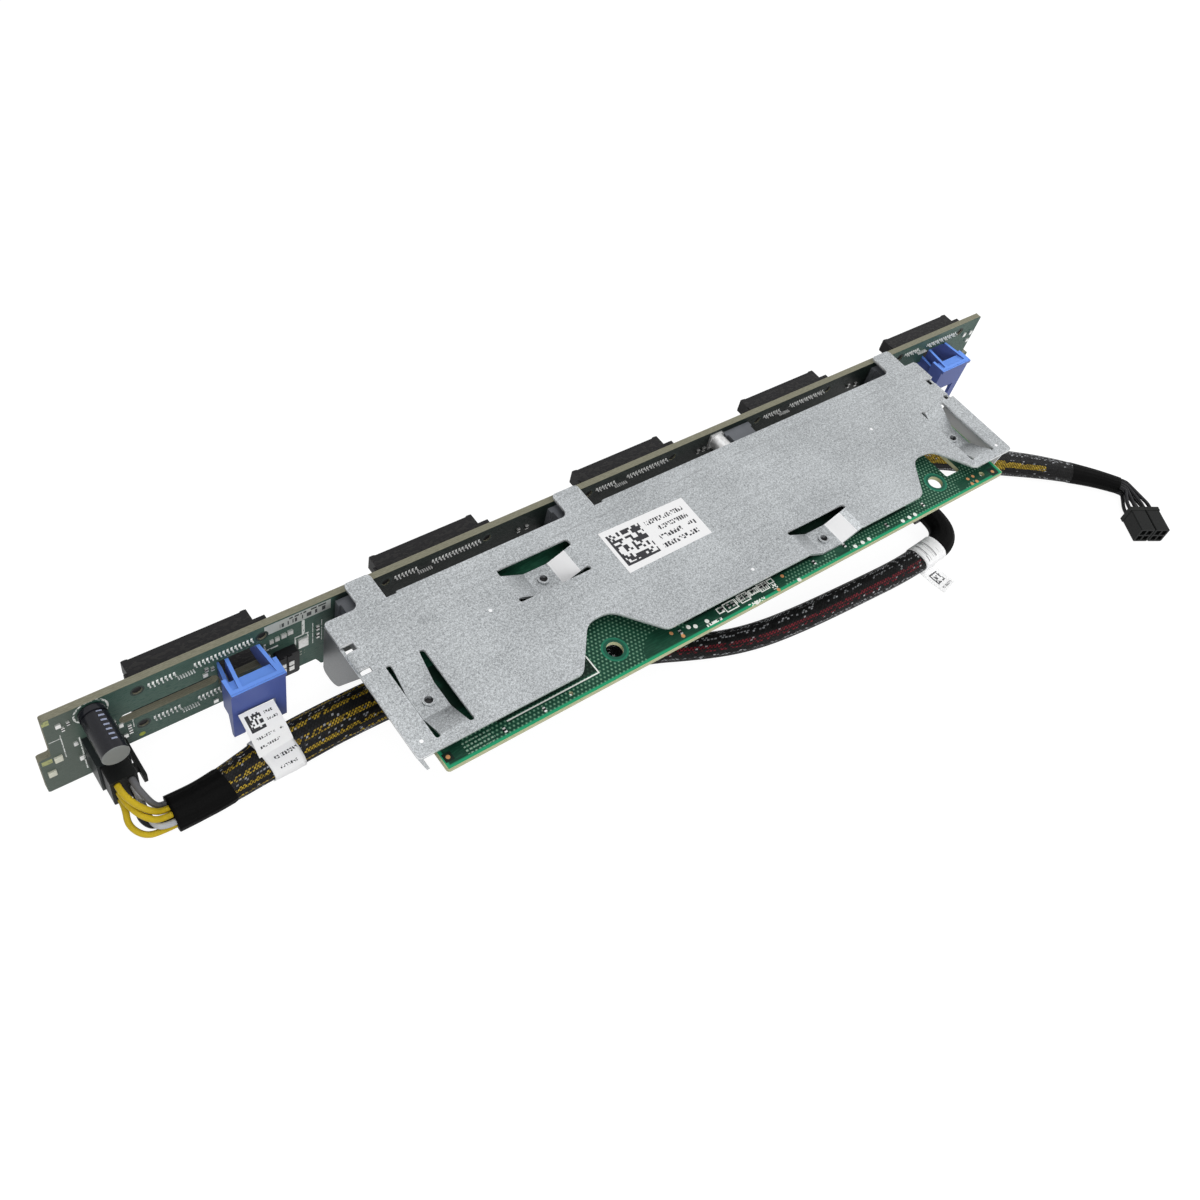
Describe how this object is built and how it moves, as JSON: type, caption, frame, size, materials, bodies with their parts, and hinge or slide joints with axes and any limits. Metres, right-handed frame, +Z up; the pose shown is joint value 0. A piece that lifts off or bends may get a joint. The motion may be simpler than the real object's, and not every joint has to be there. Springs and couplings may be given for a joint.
{
  "type": "drive backplane board",
  "caption": "Long server backplane with rows of drive sockets, an expander board under a folded steel bracket, release latches, a power harness and a data cable.",
  "frame": {"origin": "midway between the expander board's two mounting holes, on that board's upper face", "axes": "+X along the boards towards the free end of the power harness, +Y towards the drives, +Z up, away from the expander board's upper face"},
  "size_m": [0.4269, 0.1261, 0.0371],
  "materials": {
    "circuit_board": "satin",
    "socket_plastic": "satin",
    "link_plastic": "satin",
    "solder": "satin",
    "sheet_steel": "galvanised, satin",
    "screw_steel": "plated",
    "capacitor_sleeve": "gloss",
    "bare_aluminium": "satin",
    "plug_plastic": "satin",
    "latch_plastic": "satin",
    "small_part": "satin",
    "lamp": "gloss",
    "tape": "matt",
    "power_braid": "woven",
    "data_braid": "woven",
    "wire_grey": "satin",
    "wire_white": "satin",
    "wire_black": "satin",
    "wire_yellow": "satin",
    "label": "matt"
  },
  "bodies": {
    "root": {"backplane_board": "circuit_board", "expander_board": "circuit_board", "solder_tails_upper": "solder", "drive_socket_upper_1": "socket_plastic", "drive_socket_upper_2": "socket_plastic", "drive_socket_upper_3": "socket_plastic", "drive_socket_upper_4": "socket_plastic", "drive_socket_upper_5": "socket_plastic", "solder_tails_lower": "solder", "drive_socket_lower_1": "socket_plastic", "drive_socket_lower_2": "socket_plastic", "drive_socket_lower_3": "socket_plastic", "drive_socket_lower_4": "socket_plastic", "drive_socket_lower_5": "socket_plastic", "mounting_bracket": "sheet_steel", "bracket_screws": "screw_steel", "board_link_1": "link_plastic", "board_link_2": "link_plastic", "board_link_3": "link_plastic", "board_link_4": "link_plastic", "bulk_capacitor": "capacitor_sleeve", "can_capacitor": "bare_aluminium", "power_header": "socket_plastic", "power_plug": "plug_plastic", "latch_left": "latch_plastic", "latch_right": "latch_plastic", "small_parts": "small_part", "choke": "plug_plastic", "status_lights": "lamp", "expander_chip": "plug_plastic", "heat_sink": "bare_aluminium", "data_socket": "socket_plastic", "data_plug": "plug_plastic", "data_plug_free": "plug_plastic", "harness_tape_left": "tape", "harness_tape_right": "tape", "data_tape": "tape", "harness_sleeve_start": "power_braid", "harness_sleeve": "power_braid", "harness_sleeve_end": "power_braid", "data_sleeve": "data_braid", "power_wire_grey": "wire_grey", "power_wire_white": "wire_white", "power_wire_black": "wire_black", "power_wire_yellow_1": "wire_yellow", "power_wire_yellow_2": "wire_yellow", "power_wire_yellow_3": "wire_yellow", "free_plug_left": "plug_plastic", "free_plug_right": "plug_plastic", "free_plug_wires": "wire_black"}
  },
  "joints": []
}
